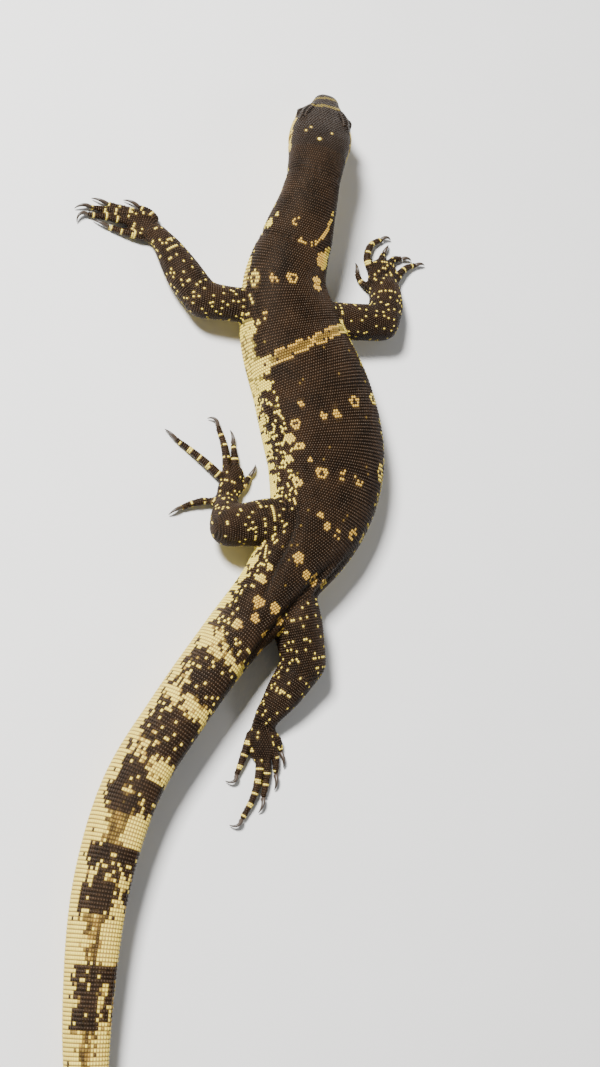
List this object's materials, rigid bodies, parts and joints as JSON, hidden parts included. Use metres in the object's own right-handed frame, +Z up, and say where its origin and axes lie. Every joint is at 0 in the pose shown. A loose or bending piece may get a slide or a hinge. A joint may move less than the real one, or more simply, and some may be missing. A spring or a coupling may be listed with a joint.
{
  "type": "water monitor lizard, young, still life-size model",
  "caption": "Young water monitor lizard lying on its belly with the neck raised, legs spread, and the long flattened tail curved behind it; a still display model.",
  "frame": {"origin": "on the floor under the middle of the animal's box", "axes": "+Z up, +Y towards the head, +X towards the animal's right side"},
  "size_m": [0.1098, 0.3625, 0.0259],
  "materials": {
    "hide": "fine beaded scales, satin, black-brown with golden and cream spots and bands",
    "claw": "smooth dark horn",
    "eye": "wet, dark brown with a fine pale ring"
  },
  "bodies": {
    "root": {"head": "hide", "left_eye": "eye", "left_foot": "hide", "left_foot_claw_1": "claw", "left_foot_claw_2": "claw", "left_foot_claw_3": "claw", "left_foot_claw_4": "claw", "left_foot_claw_5": "claw", "left_forearm": "hide", "left_hand": "hide", "left_hand_claw_1": "claw", "left_hand_claw_2": "claw", "left_hand_claw_3": "claw", "left_hand_claw_4": "claw", "left_hand_claw_5": "claw", "left_shank": "hide", "left_thigh": "hide", "left_upper_arm": "hide", "lower_jaw": "hide", "neck": "hide", "right_eye": "eye", "right_foot": "hide", "right_foot_claw_1": "claw", "right_foot_claw_2": "claw", "right_foot_claw_3": "claw", "right_foot_claw_4": "claw", "right_foot_claw_5": "claw", "right_forearm": "hide", "right_hand": "hide", "right_hand_claw_1": "claw", "right_hand_claw_2": "claw", "right_hand_claw_3": "claw", "right_hand_claw_4": "claw", "right_hand_claw_5": "claw", "right_shank": "hide", "right_thigh": "hide", "right_upper_arm": "hide", "tail_first": "hide", "tail_fourth": "hide", "tail_second": "hide", "tail_third": "hide", "torso": "hide"}
  },
  "joints": []
}
